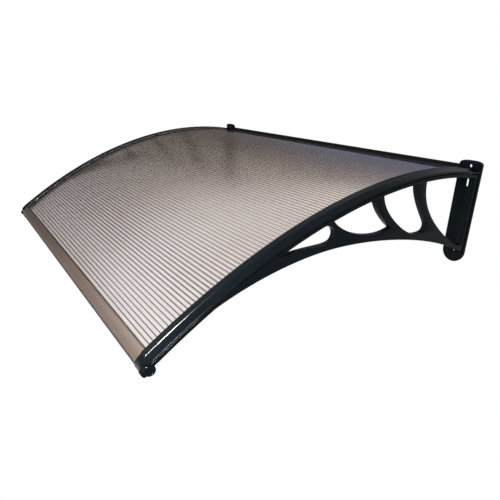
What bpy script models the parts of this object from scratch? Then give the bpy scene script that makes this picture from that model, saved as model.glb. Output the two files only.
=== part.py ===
"""Door canopy: an arched twin-wall sheet carried by two moulded wall brackets.

Frame: the wall is the plane y = 0 and the street is at -y, x runs along the wall from its
middle, z is up, and z = 0 is the top of the sheet where its line meets the wall.
"""

import bmesh
import bpy
import math
import numpy as np
from mathutils import Matrix, Vector

# Overall size, the gap left between pieces that touch, and the length of one swept facet
HALF_WIDTH = 0.600
GAP = 0.0003
SWEEP_STEP = 0.026

# The arch of the sheet: its slope at the wall, at the front rail, and the extra bow between
ARCH_RUN = 0.9217
SLOPE_WALL = math.radians(-10.8)
SLOPE_FRONT = math.radians(33.5)
SLOPE_BOW = math.radians(3.6)

# Twin-wall sheet
SHEET_THICK = 0.006
SHEET_SKIN = 0.0005
SHEET_RIB = 0.0005
SHEET_CELLS = 101
SHEET_BACK = 0.010
SHEET_GRIP = 0.0075
SHEET_INSET = 0.010

# Cover strips, clamped on the side edges of the sheet
STRIP_WIDTH = 0.033
STRIP_UNDER = 0.0026
STRIP_TOP = 0.0060
STRIP_CREST = 0.0195
STRIP_SKIRT = 0.0095
STRIP_DROP = 0.0040
STRIP_LAP = 0.0203
LIP_REACH = 0.0023
LIP_SEAT = 0.0025

# Wall plates at the back of the brackets
PLATE_WIDTH = 0.061
PLATE_THICK = 0.008
PLATE_CROWN_Z = 0.026
PLATE_CROWN_RISE = 0.012
PLATE_FOOT_Z = -0.238
PLATE_EDGE = 0.0016
TOP_HOLE_Z = 0.013
TOP_HOLE = 0.008
SLOT_Z = -0.028
SLOT_WIDTH = 0.007
SLOT_LENGTH = 0.020
FOOT_HOLE = 0.005

# Bracket web, the chord that the sheet lies on, and the round end at the front
WEB_INSET = 0.0036
WEB_THICK = 0.0154
REAR_POST = 0.011
CHORD_INSET = 0.003
CHORD_WIDTH = 0.031
CHORD_DEPTH = 0.0087
BELLY_Y = -0.460
BELLY_Z = -0.101
HEEL_Z = -0.206
NOSE_BACK = 0.0183
NOSE_SINK = 0.0015
END_RADIUS = 0.011
END_AHEAD = 0.0180
END_BELOW = 0.0130
END_DISH = 0.0015
TOE_AHEAD = 0.0168
TOE_BELOW = 0.0108
SPIGOT_RADIUS = 0.004
SPIGOT_LENGTH = 0.008

# Front rail and the caps on its ends
RAIL_WALL = 0.0018
RAIL_LIP = 0.008
RAIL_BEND = 0.025
RAIL_DROP = 0.002
RAIL_CLEAR = 0.0005
RAIL_SHELF = 0.001
RAIL_RETURN = 0.006
RAIL_TUCK = 0.002
RAIL_MITRE = 0.5
CAP_WALL = 0.0046
CAP_FOOT = 0.008
PLUG_RADIUS = 0.007
PLUG_AHEAD = 0.012
SEAL_THICK = 0.0014
DRIP_SEAL = 0.003

# Rear rail on the wall
REAR_TOP = 0.0105
REAR_BOTTOM = -0.016
REAR_WALL = 0.002
REAR_JAW = 0.021
WALL_SEAL = 0.0027

# Clamp screws, driven up through the chord and the sheet into the cover strip
SCREWS = 5
SCREW_IN = 0.0065
SCREW_RADIUS = 0.002
SCREW_BITE = 0.0016
HEAD_RADIUS = 0.004
HEAD_HEIGHT = 0.0026

# Sizes that follow from the ones above
SHEET_FRONT = ARCH_RUN + SHEET_GRIP
SHEET_HALF = HALF_WIDTH - SHEET_INSET
CELL = (SHEET_FRONT - SHEET_BACK) / SHEET_CELLS
STRIP_IN = HALF_WIDTH - STRIP_WIDTH
STRIP_MID = HALF_WIDTH - STRIP_WIDTH / 2
PLATE_IN = HALF_WIDTH - PLATE_WIDTH
PLATE_MID = HALF_WIDTH - PLATE_WIDTH / 2
WEB_OUT = HALF_WIDTH - WEB_INSET
CHORD_OUT = HALF_WIDTH - CHORD_INSET
CHORD_TOP = -SHEET_THICK - GAP
CHORD_UNDER = CHORD_TOP - CHORD_DEPTH
CAP_OUT = STRIP_MID - GAP
END_IN = STRIP_MID
REAR_HALF = PLATE_IN - GAP
RAIL_HALF = STRIP_IN + RAIL_TUCK
SHELF_TOP = -SHEET_THICK - 2 * GAP - SEAL_THICK
SHELF_UNDER = SHELF_TOP - RAIL_WALL
END_S = ARCH_RUN + END_AHEAD
END_N = -END_BELOW
CHORD_END = ARCH_RUN - RAIL_SHELF - GAP
STRIP_FRONT = ARCH_RUN + STRIP_LAP - STRIP_WIDTH / 2
SCREW_HOLE = SCREW_RADIUS + GAP

PARTS = "door_canopy"
CUTTERS = "cutters"


def slope(s):
    """Downward slope of the sheet at arc length s from the wall."""
    t = s / ARCH_RUN
    return SLOPE_WALL + (SLOPE_FRONT - SLOPE_WALL) * t + SLOPE_BOW * 4 * t * (1 - t)


def arch(s, n=0.0):
    """Point (y, z) at arc length s from the wall and height n above the sheet's top."""
    steps = 96
    middles = (np.arange(steps) + 0.5) * s / steps
    angles = slope(middles)
    y = -np.cos(angles).sum() * s / steps
    z = -np.sin(angles).sum() * s / steps
    here = slope(s)
    return float(y - n * math.sin(here)), float(z + n * math.cos(here))


def at(x, s, n):
    """World point x along the wall, s along the sheet and n above it."""
    y, z = arch(s, n)
    return Vector((x, y, z))


def material(name, colour, roughness, metallic=0.0, alpha=1.0):
    """A Principled BSDF in one colour."""
    made = bpy.data.materials.new(name)
    made.use_nodes = True
    shader = made.node_tree.nodes["Principled BSDF"]
    shader.inputs["Base Color"].default_value = (*colour, 1.0)
    shader.inputs["Roughness"].default_value = roughness
    shader.inputs["Metallic"].default_value = metallic
    shader.inputs["Alpha"].default_value = alpha
    return made


def collection(name):
    """A collection in the scene."""
    made = bpy.data.collections.new(name)
    bpy.context.scene.collection.children.link(made)
    return made


def part(name, mesh, finish):
    """A named piece of the canopy, shaded smooth between its sharp edges."""
    mesh.name = name
    mesh.materials.clear()
    mesh.materials.append(finish)
    mesh.shade_smooth()
    mesh.set_sharp_from_angle(angle=math.radians(35))
    made = bpy.data.objects.new(name, mesh)
    bpy.data.collections[PARTS].objects.link(made)
    return made


def guide(name, mesh):
    """A solid that only cuts or joins, left out of the canopy itself."""
    made = bpy.data.objects.new(name, mesh)
    made.hide_render = True
    made.display_type = "WIRE"
    bpy.data.collections[CUTTERS].objects.link(made)
    return made


def combine(target, other, operation):
    """Join another solid to a piece, or cut it away."""
    step = target.modifiers.new(other.name, "BOOLEAN")
    step.operation = operation
    step.solver = "EXACT"
    step.object = other


def evaluated_mesh(source):
    """The mesh of an object with its modifiers, in world space, welded."""
    view = bpy.context.evaluated_depsgraph_get()
    mesh = bpy.data.meshes.new_from_object(source.evaluated_get(view))
    mesh.transform(source.matrix_world)
    work = bmesh.new()
    work.from_mesh(mesh)
    bmesh.ops.remove_doubles(work, verts=work.verts, dist=0.000001)
    work.to_mesh(mesh)
    work.free()
    return mesh


def mirrored(source, name, finish):
    """The same piece on the other side of the middle."""
    mesh = evaluated_mesh(source)
    mesh.transform(Matrix.Scale(-1, 4, Vector((1, 0, 0))))
    mesh.flip_normals()
    return part(name, mesh, finish)


def slab(outlines, low, high, turn, edge=0.0):
    """Closed outlines as one filled 2D curve, made a solid from low to high.

    The first outline is the rim and the others are openings in it. The turn stands the
    flat outline up, and edge rounds the rims of both faces.
    """
    curve = bpy.data.curves.new("outline", "CURVE")
    curve.dimensions = "2D"
    curve.fill_mode = "BOTH"
    curve.extrude = (high - low) / 2
    for outline in outlines:
        spline = curve.splines.new("POLY")
        spline.points.add(len(outline) - 1)
        spline.use_cyclic_u = True
        for point, (u, v) in zip(spline.points, outline):
            point.co = (u, v, 0.0, 1.0)
    holder = bpy.data.objects.new("outline", curve)
    bpy.context.scene.collection.objects.link(holder)
    holder.matrix_world = turn @ Matrix.Translation((0.0, 0.0, (low + high) / 2))
    bpy.context.view_layer.update()
    mesh = evaluated_mesh(holder)
    bpy.data.objects.remove(holder)
    bpy.data.curves.remove(curve)
    work = bmesh.new()
    work.from_mesh(mesh)
    flat = [e for e in work.edges if e.is_manifold and e.calc_face_angle() < 0.0001]
    bmesh.ops.dissolve_edges(work, edges=flat, use_verts=False)
    if edge > 0.0:
        rims = [e for e in work.edges if e.calc_face_angle() > 1.0
                and max(len(f.verts) for f in e.link_faces) > 4]
        bmesh.ops.bevel(work, geom=rims, offset=edge, segments=2, profile=0.5, affect="EDGES")
    bmesh.ops.recalc_face_normals(work, faces=work.faces)
    work.to_mesh(mesh)
    work.free()
    return mesh


# An outline drawn in (y, z) is given its thickness along x, one drawn in (x, z) along -y
ALONG_X = Matrix.Rotation(math.pi / 2, 4, "Z") @ Matrix.Rotation(math.pi / 2, 4, "X")
ALONG_Y = Matrix.Rotation(math.pi / 2, 4, "X")


def loft(rows, closed, caps):
    """A skin over rows of points, each row a ring when closed, with 0, 1 or 2 ends capped."""
    work = bmesh.new()
    grid = [[work.verts.new(point) for point in row] for row in rows]
    count = len(grid[0])
    for here, there in zip(grid, grid[1:]):
        for i in range(count if closed else count - 1):
            j = (i + 1) % count
            work.faces.new((here[i], here[j], there[j], there[i]))
    if caps > 0:
        work.faces.new(grid[0])
    if caps > 1:
        work.faces.new(reversed(grid[-1]))
    return work


def finish_mesh(work, name):
    """Weld a skin, drop its collapsed faces and point them all outward."""
    bmesh.ops.remove_doubles(work, verts=work.verts, dist=0.000001)
    bmesh.ops.dissolve_degenerate(work, edges=work.edges, dist=0.0000001)
    bmesh.ops.recalc_face_normals(work, faces=work.faces)
    mesh = bpy.data.meshes.new(name)
    work.to_mesh(mesh)
    work.free()
    return mesh


def run(start, end, step):
    """Even stations from start to end, about one step apart."""
    return np.linspace(start, end, max(2, round((end - start) / step) + 1))


def station_of(y, n):
    """Arc length where the line n above the sheet's top is at y."""
    low, high = -abs(n), END_S + abs(n)
    for _ in range(40):
        s = (low + high) / 2
        if arch(s, n)[0] > y:
            low = s
        else:
            high = s
    return (low + high) / 2


def rows_from_plate(section, front):
    """Rows of a section (x, n) along the sheet, the first one flush with the wall plate."""
    back = -PLATE_THICK - GAP
    rows = [[at(x, station_of(back, n), n) for x, n in section]]
    for s in run(station_of(back, 0.0), front, SWEEP_STEP)[1:]:
        rows.append([at(x, s, n) for x, n in section])
    return rows


def pin(s, x, bottom, top, radius, sides=12):
    """A round rod that stands square to the sheet, from bottom to top."""
    work = bmesh.new()
    bmesh.ops.create_cone(work, cap_ends=True, segments=sides, radius1=radius,
                          radius2=radius, depth=top - bottom)
    mesh = bpy.data.meshes.new("pin")
    work.to_mesh(mesh)
    work.free()
    lean = Matrix.Rotation(slope(s), 4, "X")
    mesh.transform(Matrix.Translation(at(x, s, (bottom + top) / 2)) @ lean)
    return mesh


def disc(centre, low, high, radius, sides=32):
    """A round rod along x, from low to high."""
    work = bmesh.new()
    bmesh.ops.create_cone(work, cap_ends=True, segments=sides, radius1=radius,
                          radius2=radius, depth=high - low)
    mesh = bpy.data.meshes.new("disc")
    work.to_mesh(mesh)
    work.free()
    mesh.transform(Matrix.Translation(((low + high) / 2, *centre))
                   @ Matrix.Rotation(math.pi / 2, 4, "Y"))
    return mesh


def bar(name, outline, half, finish):
    """A straight extrusion, half its length to each side of the middle."""
    return part(name, slab([outline], -half, half, ALONG_X), finish)


def arc(centre, radius, start, end, steps):
    """Points on a circle from one angle to another, in degrees."""
    angles = np.radians(np.linspace(start, end, steps + 1))
    return [(centre[0] + radius * math.cos(a), centre[1] + radius * math.sin(a)) for a in angles]


def bezier(points, steps):
    """Points along a cubic curve, from its start up to its end."""
    p = [np.array(point) for point in points]
    made = []
    for t in np.linspace(0.0, 1.0, steps + 1):
        u = 1 - t
        made.append(tuple(u**3 * p[0] + 3 * u * u * t * p[1] + 3 * u * t * t * p[2] + t**3 * p[3]))
    return made


def screw_stations():
    """Arc lengths of the clamp screws, each in the middle of a flute."""
    cells = [round((k + 0.5) / SCREWS * SHEET_CELLS - 0.5) for k in range(SCREWS)]
    return [SHEET_BACK + (cell + 0.5) * CELL for cell in cells]


def screw_holes(name, bottom, top):
    """Cutters for the clamp screws on the right side."""
    x = STRIP_IN + SCREW_IN
    return [guide(f"{name}_{k}", pin(s, x, bottom, top, SCREW_HOLE))
            for k, s in enumerate(screw_stations())]


def sheet(finish):
    """Twin-wall sheet: two skins and the ribs between them, extruded along the wall."""
    columns = 2 * SHEET_CELLS + 1
    work = bmesh.new()
    bmesh.ops.create_grid(work, x_segments=columns, y_segments=3, size=0.5)
    levels = (-SHEET_THICK, SHEET_SKIN - SHEET_THICK, -SHEET_SKIN, 0.0)
    hollow = []
    for face in work.faces:
        middle = face.calc_center_median()
        column = math.floor((middle.x + 0.5) * columns)
        if column % 2 == 1 and abs(middle.y) < 0.1:
            hollow.append(face)
    bmesh.ops.delete(work, geom=hollow, context="FACES_ONLY")
    for vert in work.verts:
        column = round((vert.co.x + 0.5) * columns)
        level = round((vert.co.y + 0.5) * 3)
        rib = SHEET_BACK + (column // 2) * CELL
        side = SHEET_RIB / 2 if column % 2 == 1 else -SHEET_RIB / 2
        s = min(max(rib + side, SHEET_BACK), SHEET_FRONT)
        vert.co = at(-SHEET_HALF, s, levels[level])
    grown = bmesh.ops.extrude_face_region(work, geom=work.faces[:])
    verts = [g for g in grown["geom"] if isinstance(g, bmesh.types.BMVert)]
    bmesh.ops.translate(work, verts=verts, vec=(2 * SHEET_HALF, 0.0, 0.0))
    made = part("twin_wall_sheet", finish_mesh(work, "sheet"), finish)
    for hole in screw_holes("sheet_hole_right", -2 * SHEET_THICK, SHEET_THICK):
        combine(made, hole, "DIFFERENCE")
        other = guide(hole.name.replace("right", "left"), hole.data.copy())
        other.data.transform(Matrix.Scale(-1, 4, Vector((1, 0, 0))))
        other.data.flip_normals()
        combine(made, other, "DIFFERENCE")
    return made


def strip_sides():
    """Half sections of the cover strip at its outer side, at its tip and at its inner side.

    Each runs from the top of the middle to the underside of the middle, as (reach, n).
    """
    reach = STRIP_WIDTH / 2
    crest = STRIP_CREST - reach
    skirt = reach - STRIP_SKIRT
    under = STRIP_UNDER
    top = STRIP_TOP
    outer = [(0.0, top), (crest - 0.0015, top), (crest, top - 0.0001), (crest + 0.0013, top - 0.0007),
             (reach - 0.0020, 0.0004), (reach - 0.0004, -0.0009), (reach, -0.0022),
             (reach, -STRIP_DROP), (skirt, -STRIP_DROP), (skirt, under), (0.0, under)]
    tip = [(0.0, top), (crest - 0.0015, top), (crest, top - 0.0001), (crest + 0.0025, top - 0.0005),
           (reach - 0.0024, top - 0.0026), (reach - 0.0007, top - 0.0033), (reach, under + 0.0001),
           (reach, under - 0.0008), (reach - 0.0013, under - 0.0008), (reach - 0.0013, under),
           (0.0, under)]
    inner = [(0.0, top), (0.3 * reach, top), (0.6 * reach, top), (0.8 * reach, top),
             (reach - 0.0014, top), (reach - 0.0005, top - 0.0004), (reach, top - 0.0012),
             (reach, under + 0.0006), (reach, under), (0.6 * reach, under), (0.0, under)]
    return outer, tip, inner


def cover_strip(finish):
    """Clamp strip with a crest, a skirt over the sheet's edge and a rounded front end."""
    outer, tip, inner = strip_sides()
    ring = [(STRIP_MID + r, n) for r, n in outer]
    ring += [(STRIP_MID - r, n) for r, n in reversed(inner[1:-1])]
    body = loft(rows_from_plate(ring, STRIP_FRONT), True, 1)
    fan = []
    for degrees in range(0, 181, 15):
        turn = math.radians(degrees)
        first, second = (outer, tip) if degrees < 90 else (tip, inner)
        share = (degrees % 90) / 90 if degrees < 180 else 1.0
        blend = share * share * (3 - 2 * share)
        column = []
        for (r0, n0), (r1, n1) in zip(first, second):
            r = r0 + (r1 - r0) * blend
            n = n0 + (n1 - n0) * blend
            column.append(at(STRIP_MID + r * math.cos(turn), STRIP_FRONT + r * math.sin(turn), n))
        fan.append(column)
    nose = bpy.data.meshes.new("nose")
    end = loft(fan, False, 0)
    end.to_mesh(nose)
    end.free()
    body.from_mesh(nose)
    bpy.data.meshes.remove(nose)
    made = part("cover_strip_right", finish_mesh(body, "strip"), finish)
    for hole in screw_holes("strip_hole", 0.0, STRIP_UNDER + SCREW_BITE + GAP):
        combine(made, hole, "DIFFERENCE")
    return made


def lip_gasket(finish):
    """Soft lip under the inner edge of a cover strip, lying on the sheet."""
    top = STRIP_UNDER - GAP
    section = [(STRIP_IN - LIP_REACH, GAP), (STRIP_IN + LIP_SEAT, GAP), (STRIP_IN + LIP_SEAT, top),
               (STRIP_IN + GAP, top), (STRIP_IN - LIP_REACH + GAP, GAP + 0.4 * top)]
    rows = rows_from_plate(section, ARCH_RUN - GAP)
    return part("strip_gasket_right", finish_mesh(loft(rows, True, 2), "lip"), finish)


def chord_line(y, n):
    """Point (y, z) on the line that lies n above the sheet's top."""
    return y, arch(station_of(y, n), n)[1]


def lower_edge():
    """Lower outline of the bracket, from the front of the chord back to the wall plate."""
    nose = arch(ARCH_RUN - NOSE_BACK, CHORD_UNDER + NOSE_SINK)
    belly = (BELLY_Y, BELLY_Z)
    heel = (-PLATE_THICK, HEEL_Z)
    ahead = nose[0] - BELLY_Y
    behind = heel[0] - BELLY_Y
    drop = BELLY_Z - nose[1]
    fall = BELLY_Z - HEEL_Z
    front = bezier([nose, (nose[0] - 0.17 * ahead, nose[1] + 0.52 * drop),
                    (BELLY_Y + 0.40 * ahead, BELLY_Z + 0.02 * drop), belly], 12)
    back = bezier([belly, (BELLY_Y + 0.29 * behind, BELLY_Z - 0.02 * drop),
                   (BELLY_Y + 0.69 * behind, BELLY_Z - 0.32 * fall), heel], 12)
    return front + back[1:]


def bay_point(edge, u, v):
    """Point at share u of the depth, and share v of the way from the chord to the lower edge."""
    reach = arch(END_S, CHORD_UNDER)[0]
    y = u * reach
    top = chord_line(y, CHORD_UNDER)[1]
    ys = [p[0] for p in edge]
    zs = [p[1] for p in edge]
    return y, top + v * (float(np.interp(y, ys, zs)) - top)


def window(edge, corners, curves):
    """An opening in the web: its top runs inside the chord, and curves close it below.

    The corners are shares of the depth where the top begins and ends, front to back. Each
    curve is drawn in the shares that bay_point takes, from the back round to the front.
    """
    front, back = corners
    reach = arch(END_S, CHORD_UNDER)[0]
    sunk = CHORD_UNDER + CHORD_DEPTH / 4
    top = [chord_line(u * reach, sunk) for u in np.linspace(front, back, 5)]
    rest = [bay_point(edge, back, 0.0)]
    for points, steps in curves:
        rest += [bay_point(edge, u, v) for u, v in bezier(points, steps)[1:]]
    return top + rest


def windows(edge):
    """The four openings, from the nose back to the wall plate."""
    rear = (PLATE_THICK + REAR_POST) / -arch(END_S, CHORD_UNDER)[0]
    first = window(edge, (0.700, 0.569), [
        ([(0.569, 0.0), (0.541, 0.15), (0.532, 0.55), (0.548, 0.70)], 6),
        ([(0.548, 0.70), (0.566, 0.84), (0.648, 0.55), (0.700, 0.0)], 6)])
    second = window(edge, (0.545, 0.417), [
        ([(0.417, 0.0), (0.410, 0.26), (0.384, 0.56), (0.350, 0.74)], 5),
        ([(0.350, 0.74), (0.420, 0.98), (0.512, 0.76), (0.545, 0.0)], 10)])
    third = window(edge, (0.390, 0.270), [
        ([(0.270, 0.0), (0.264, 0.28), (0.234, 0.50), (0.209, 0.69)], 6),
        ([(0.209, 0.69), (0.199, 0.80), (0.215, 0.86), (0.240, 0.88)], 4),
        ([(0.240, 0.88), (0.296, 0.95), (0.379, 0.50), (0.390, 0.0)], 8)])
    fourth = window(edge, (0.236, rear), [
        ([(rear, 0.0), (rear, 0.30), (rear, 0.60), (rear, 0.86)], 2),
        ([(rear, 0.86), (rear, 0.93), (rear + 0.02, 0.95), (rear + 0.045, 0.93)], 4),
        ([(rear + 0.045, 0.93), (0.160, 0.84), (0.236, 0.50), (0.236, 0.0)], 9)])
    return [first, second, third, fourth]


def web():
    """Flat web of the bracket with its four openings, its top edge sunk in the chord."""
    edge = lower_edge()
    seat = (CHORD_TOP + CHORD_UNDER) / 2
    into_plate = [(-PLATE_THICK / 2, HEEL_Z), arch(PLATE_THICK / 2, seat)]
    top = [arch(s, seat) for s in run(1.5 * PLATE_THICK, ARCH_RUN - NOSE_BACK, SWEEP_STEP)]
    rim = edge + into_plate + top
    return slab([rim] + windows(edge), WEB_OUT - WEB_THICK, WEB_OUT, ALONG_X)


def chord():
    """Seat under the edge of the sheet; past the rail cap it narrows to a tongue."""
    rows = []
    inner = CHORD_OUT - CHORD_WIDTH
    tongue = END_IN + GAP
    back = PLATE_THICK / 2
    stations = [*run(back, CHORD_END - GAP, SWEEP_STEP), *run(CHORD_END, END_S, SWEEP_STEP)]
    for s in stations:
        edge = tongue if s >= CHORD_END else inner
        rows.append([at(edge, s, CHORD_TOP), at(CHORD_OUT, s, CHORD_TOP),
                     at(CHORD_OUT, s, CHORD_UNDER), at(edge, s, CHORD_UNDER)])
    return finish_mesh(loft(rows, True, 2), "chord")


def wall_plate():
    """Plate against the wall: a round foot, straight sides and a flattened crown."""
    half = PLATE_WIDTH / 2
    foot = arc((PLATE_MID, PLATE_FOOT_Z + half), half, 180, 360, 20)
    shoulder = PLATE_CROWN_Z - PLATE_CROWN_RISE
    crown = []
    for a in np.radians(np.linspace(0, 180, 17)):
        across = math.copysign(abs(math.cos(a)) ** (2 / 3), math.cos(a))
        crown.append((PLATE_MID + half * across,
                      shoulder + PLATE_CROWN_RISE * math.sin(a) ** (2 / 3)))
    return slab([foot + crown], 0.0, PLATE_THICK, ALONG_Y, PLATE_EDGE)


def plate_holes():
    """Cutters for the screws that hold the plate to the wall."""
    low, high = -PLATE_THICK, 2 * PLATE_THICK
    half = SLOT_WIDTH / 2
    straight = (SLOT_LENGTH - SLOT_WIDTH) / 2
    upper = arc((PLATE_MID, SLOT_Z + straight), half, 0, 180, 8)
    lower = arc((PLATE_MID, SLOT_Z - straight), half, 180, 360, 8)
    foot_z = PLATE_FOOT_Z + PLATE_WIDTH / 2
    top_hole = arc((PLATE_MID, TOP_HOLE_Z), TOP_HOLE / 2, 0, 360, 16)[:-1]
    foot_hole = arc((PLATE_MID, foot_z), FOOT_HOLE / 2, 0, 360, 12)[:-1]
    outlines = {"top_hole": top_hole, "slot": upper + lower, "foot_hole": foot_hole}
    return [guide(name, slab([line], low, high, ALONG_Y)) for name, line in outlines.items()]


def toe(end):
    """Toe that runs forward and down from the round end, beside the foot of the rail's cap."""
    y, z = end
    front, low = y - TOE_AHEAD, z - TOE_BELOW
    outline = [(y - 0.3 * END_RADIUS, z + 0.8 * END_RADIUS), (y - 0.75 * END_RADIUS, z + 0.5 * END_RADIUS),
               (front, z - 0.25 * TOE_BELOW), (front + 0.15 * TOE_AHEAD, z - 0.7 * TOE_BELOW),
               (front + 0.35 * TOE_AHEAD, low), (front + 0.45 * TOE_AHEAD, low + 0.05 * TOE_BELOW),
               (y - 0.25 * END_RADIUS, z - 0.85 * END_RADIUS)]
    return slab([outline], END_IN + CAP_WALL / 2, HALF_WIDTH - END_DISH, ALONG_X)


def bracket(finish):
    """One moulded bracket: wall plate, web, chord, and the round end that carries the cap."""
    made = part("bracket_right", wall_plate(), finish)
    end = arch(END_S, END_N)
    combine(made, guide("web", web()), "UNION")
    combine(made, guide("chord", chord()), "UNION")
    combine(made, guide("end", disc(end, END_IN, HALF_WIDTH, END_RADIUS)), "UNION")
    combine(made, guide("toe", toe(end)), "UNION")
    dish = disc(end, HALF_WIDTH - END_DISH, HALF_WIDTH + END_DISH, 0.7 * END_RADIUS, 24)
    bore = disc(end, END_IN - SPIGOT_LENGTH, END_IN + SPIGOT_LENGTH + GAP, SPIGOT_RADIUS + GAP, 16)
    cutters = [guide("dish", dish), guide("bore", bore)] + plate_holes()
    cutters += screw_holes("chord_hole", 2 * CHORD_UNDER, SHEET_THICK)
    for cutter in cutters:
        combine(made, cutter, "DIFFERENCE")
    return made


def ahead(t, n):
    """Point (y, z) that lies t straight ahead of the arch's front end and n above it."""
    y, z = arch(ARCH_RUN, n)
    lean = slope(ARCH_RUN)
    return y - t * math.cos(lean), z - t * math.sin(lean)


def hood(skin, shelf_top, shelf_back, foot, filled=False):
    """Outline of the front rail and its caps, in (y, z).

    A lip lies on the sheet, the skin bends down to the drip edge, and a shelf runs back
    under the sheet. A filled outline closes the hollow between the skin and the shelf.
    """
    turn = math.pi / 2 - slope(ARCH_RUN)
    lip = RAIL_CLEAR + RAIL_WALL
    centre = lip - RAIL_BEND
    outer = [ahead(0.0, lip)]
    for a in np.linspace(0.0, turn, 11):
        outer.append(ahead(RAIL_LIP + RAIL_BEND * math.sin(a), centre + RAIL_BEND * math.cos(a)))
    front = outer[-1][0]
    low = outer[-1][1] - RAIL_DROP - foot
    outer.append((front, low))
    radius = RAIL_BEND - skin
    shelf_under = shelf_top - RAIL_WALL
    meet = math.acos((shelf_under - centre) / radius)
    inner = []
    for a in np.linspace(turn, meet, 9):
        inner.append(ahead(RAIL_LIP + radius * math.sin(a), centre + radius * math.cos(a)))
    back = front + RAIL_RETURN + skin
    drip = [(back, low), (back, low + RAIL_WALL), (front + skin, low + RAIL_WALL)]
    stop = SHEET_GRIP + GAP
    shelf = [ahead(-shelf_back, shelf_under), ahead(-shelf_back, shelf_top),
             ahead(stop, shelf_top), ahead(stop, RAIL_CLEAR), ahead(0.0, RAIL_CLEAR)]
    if filled:
        return outer + [(shelf[0][0], low)] + shelf
    return outer + drip + inner + shelf


def mitre(mesh, ends):
    """Lean the ends of a bar inward below the rail's lip, each end given by its x."""
    lip = ahead(0.0, RAIL_CLEAR + RAIL_WALL)[1]
    for vert in mesh.vertices:
        for x in ends:
            if abs(vert.co.x - x) < GAP / 2:
                vert.co.x += math.copysign(RAIL_MITRE, x) * (vert.co.z - lip)
                break


def rail_cap(finish):
    """Moulded cap: it carries on the rail's outline, plugs into it and into the bracket."""
    shelf_top = -SHEET_THICK - GAP
    back = RAIL_SHELF - GAP
    start = RAIL_HALF + GAP
    skin = slab([hood(CAP_WALL, shelf_top, back, CAP_FOOT)], start, CAP_OUT - CAP_WALL / 2, ALONG_X)
    mitre(skin, [start])
    made = part("rail_cap_right", skin, finish)
    wall = slab([hood(CAP_WALL, shelf_top, back, CAP_FOOT, filled=True)],
                CAP_OUT - CAP_WALL, CAP_OUT, ALONG_X)
    end = arch(END_S, END_N)
    seat = ahead(PLUG_AHEAD, SHELF_UNDER - GAP - PLUG_RADIUS)
    plug = disc(seat, PLATE_IN, CAP_OUT - CAP_WALL / 2, PLUG_RADIUS, 24)
    spigot = disc(end, CAP_OUT - CAP_WALL / 2, CAP_OUT + SPIGOT_LENGTH, SPIGOT_RADIUS, 16)
    combine(made, guide("cap_end", wall), "UNION")
    combine(made, guide("plug", plug), "UNION")
    combine(made, guide("spigot", spigot), "UNION")
    return made


def front_bar(name, outline, finish):
    """A bar along the front, both of its ends mitred to the rail's caps."""
    mesh = slab([outline], -RAIL_HALF, RAIL_HALF, ALONG_X)
    mitre(mesh, [-RAIL_HALF, RAIL_HALF])
    return part(name, mesh, finish)


def front_rail(finish):
    """Aluminium rail along the front edge of the sheet."""
    return front_bar("front_rail", hood(RAIL_WALL, SHELF_TOP, RAIL_SHELF, 0.0), finish)


def front_gasket(finish):
    """Flat gasket between the front rail's shelf and the sheet."""
    top = -SHEET_THICK - GAP
    back = ARCH_RUN - RAIL_SHELF + GAP
    front = ARCH_RUN + SHEET_GRIP / 2
    outline = [arch(back, top - SEAL_THICK), arch(front, top - SEAL_THICK), arch(front, top),
               arch(back, top)]
    return front_bar("front_glazing_gasket", outline, finish)


def drip_seal(finish):
    """Soft seal under the front rail's drip edge."""
    outline = hood(RAIL_WALL, SHELF_TOP, RAIL_SHELF, 0.0)
    low = min(z for y, z in outline)
    front = min(y for y, z in outline)
    back = front + RAIL_RETURN
    taper = DRIP_SEAL / 5
    shape = [(front, low - GAP), (back, low - GAP), (back - taper, low - DRIP_SEAL),
             (front + taper, low - DRIP_SEAL)]
    return front_bar("drip_seal", shape, finish)


def rear_rail(finish):
    """Aluminium rail on the wall with two jaws round the back edge of the sheet."""
    root = REAR_WALL / math.cos(SLOPE_WALL)
    upper = RAIL_CLEAR + RAIL_WALL
    outline = [(0.0, REAR_BOTTOM), (-REAR_WALL, REAR_BOTTOM),
               arch(root, SHELF_UNDER), arch(REAR_JAW, SHELF_UNDER),
               arch(REAR_JAW, SHELF_TOP), arch(root, SHELF_TOP),
               arch(root, RAIL_CLEAR), arch(REAR_JAW, RAIL_CLEAR),
               arch(REAR_JAW, upper), arch(root, upper),
               (-REAR_WALL, REAR_TOP), (0.0, REAR_TOP)]
    return bar("rear_rail", outline, REAR_HALF, finish)


def rear_gasket(finish):
    """Flat gasket between the rear rail's lower jaw and the sheet."""
    top = -SHEET_THICK - GAP
    outline = [arch(SHEET_BACK, top - SEAL_THICK), arch(REAR_JAW, top - SEAL_THICK),
               arch(REAR_JAW, top), arch(SHEET_BACK, top)]
    return bar("rear_glazing_gasket", outline, REAR_HALF - GAP, finish)


def wall_seal(finish):
    """Soft seal over the top edge of the rear rail, against the wall."""
    top = REAR_TOP + GAP + WALL_SEAL
    front = -REAR_WALL - GAP - WALL_SEAL / 2
    low = REAR_TOP - 1.5 * WALL_SEAL
    outline = [(0.0, REAR_TOP + GAP), (-REAR_WALL - GAP, REAR_TOP + GAP), (-REAR_WALL - GAP, low),
               (front, low), (front, top - WALL_SEAL / 2), (-REAR_WALL, top), (0.0, top)]
    return bar("wall_seal", outline, REAR_HALF - GAP, finish)


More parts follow.
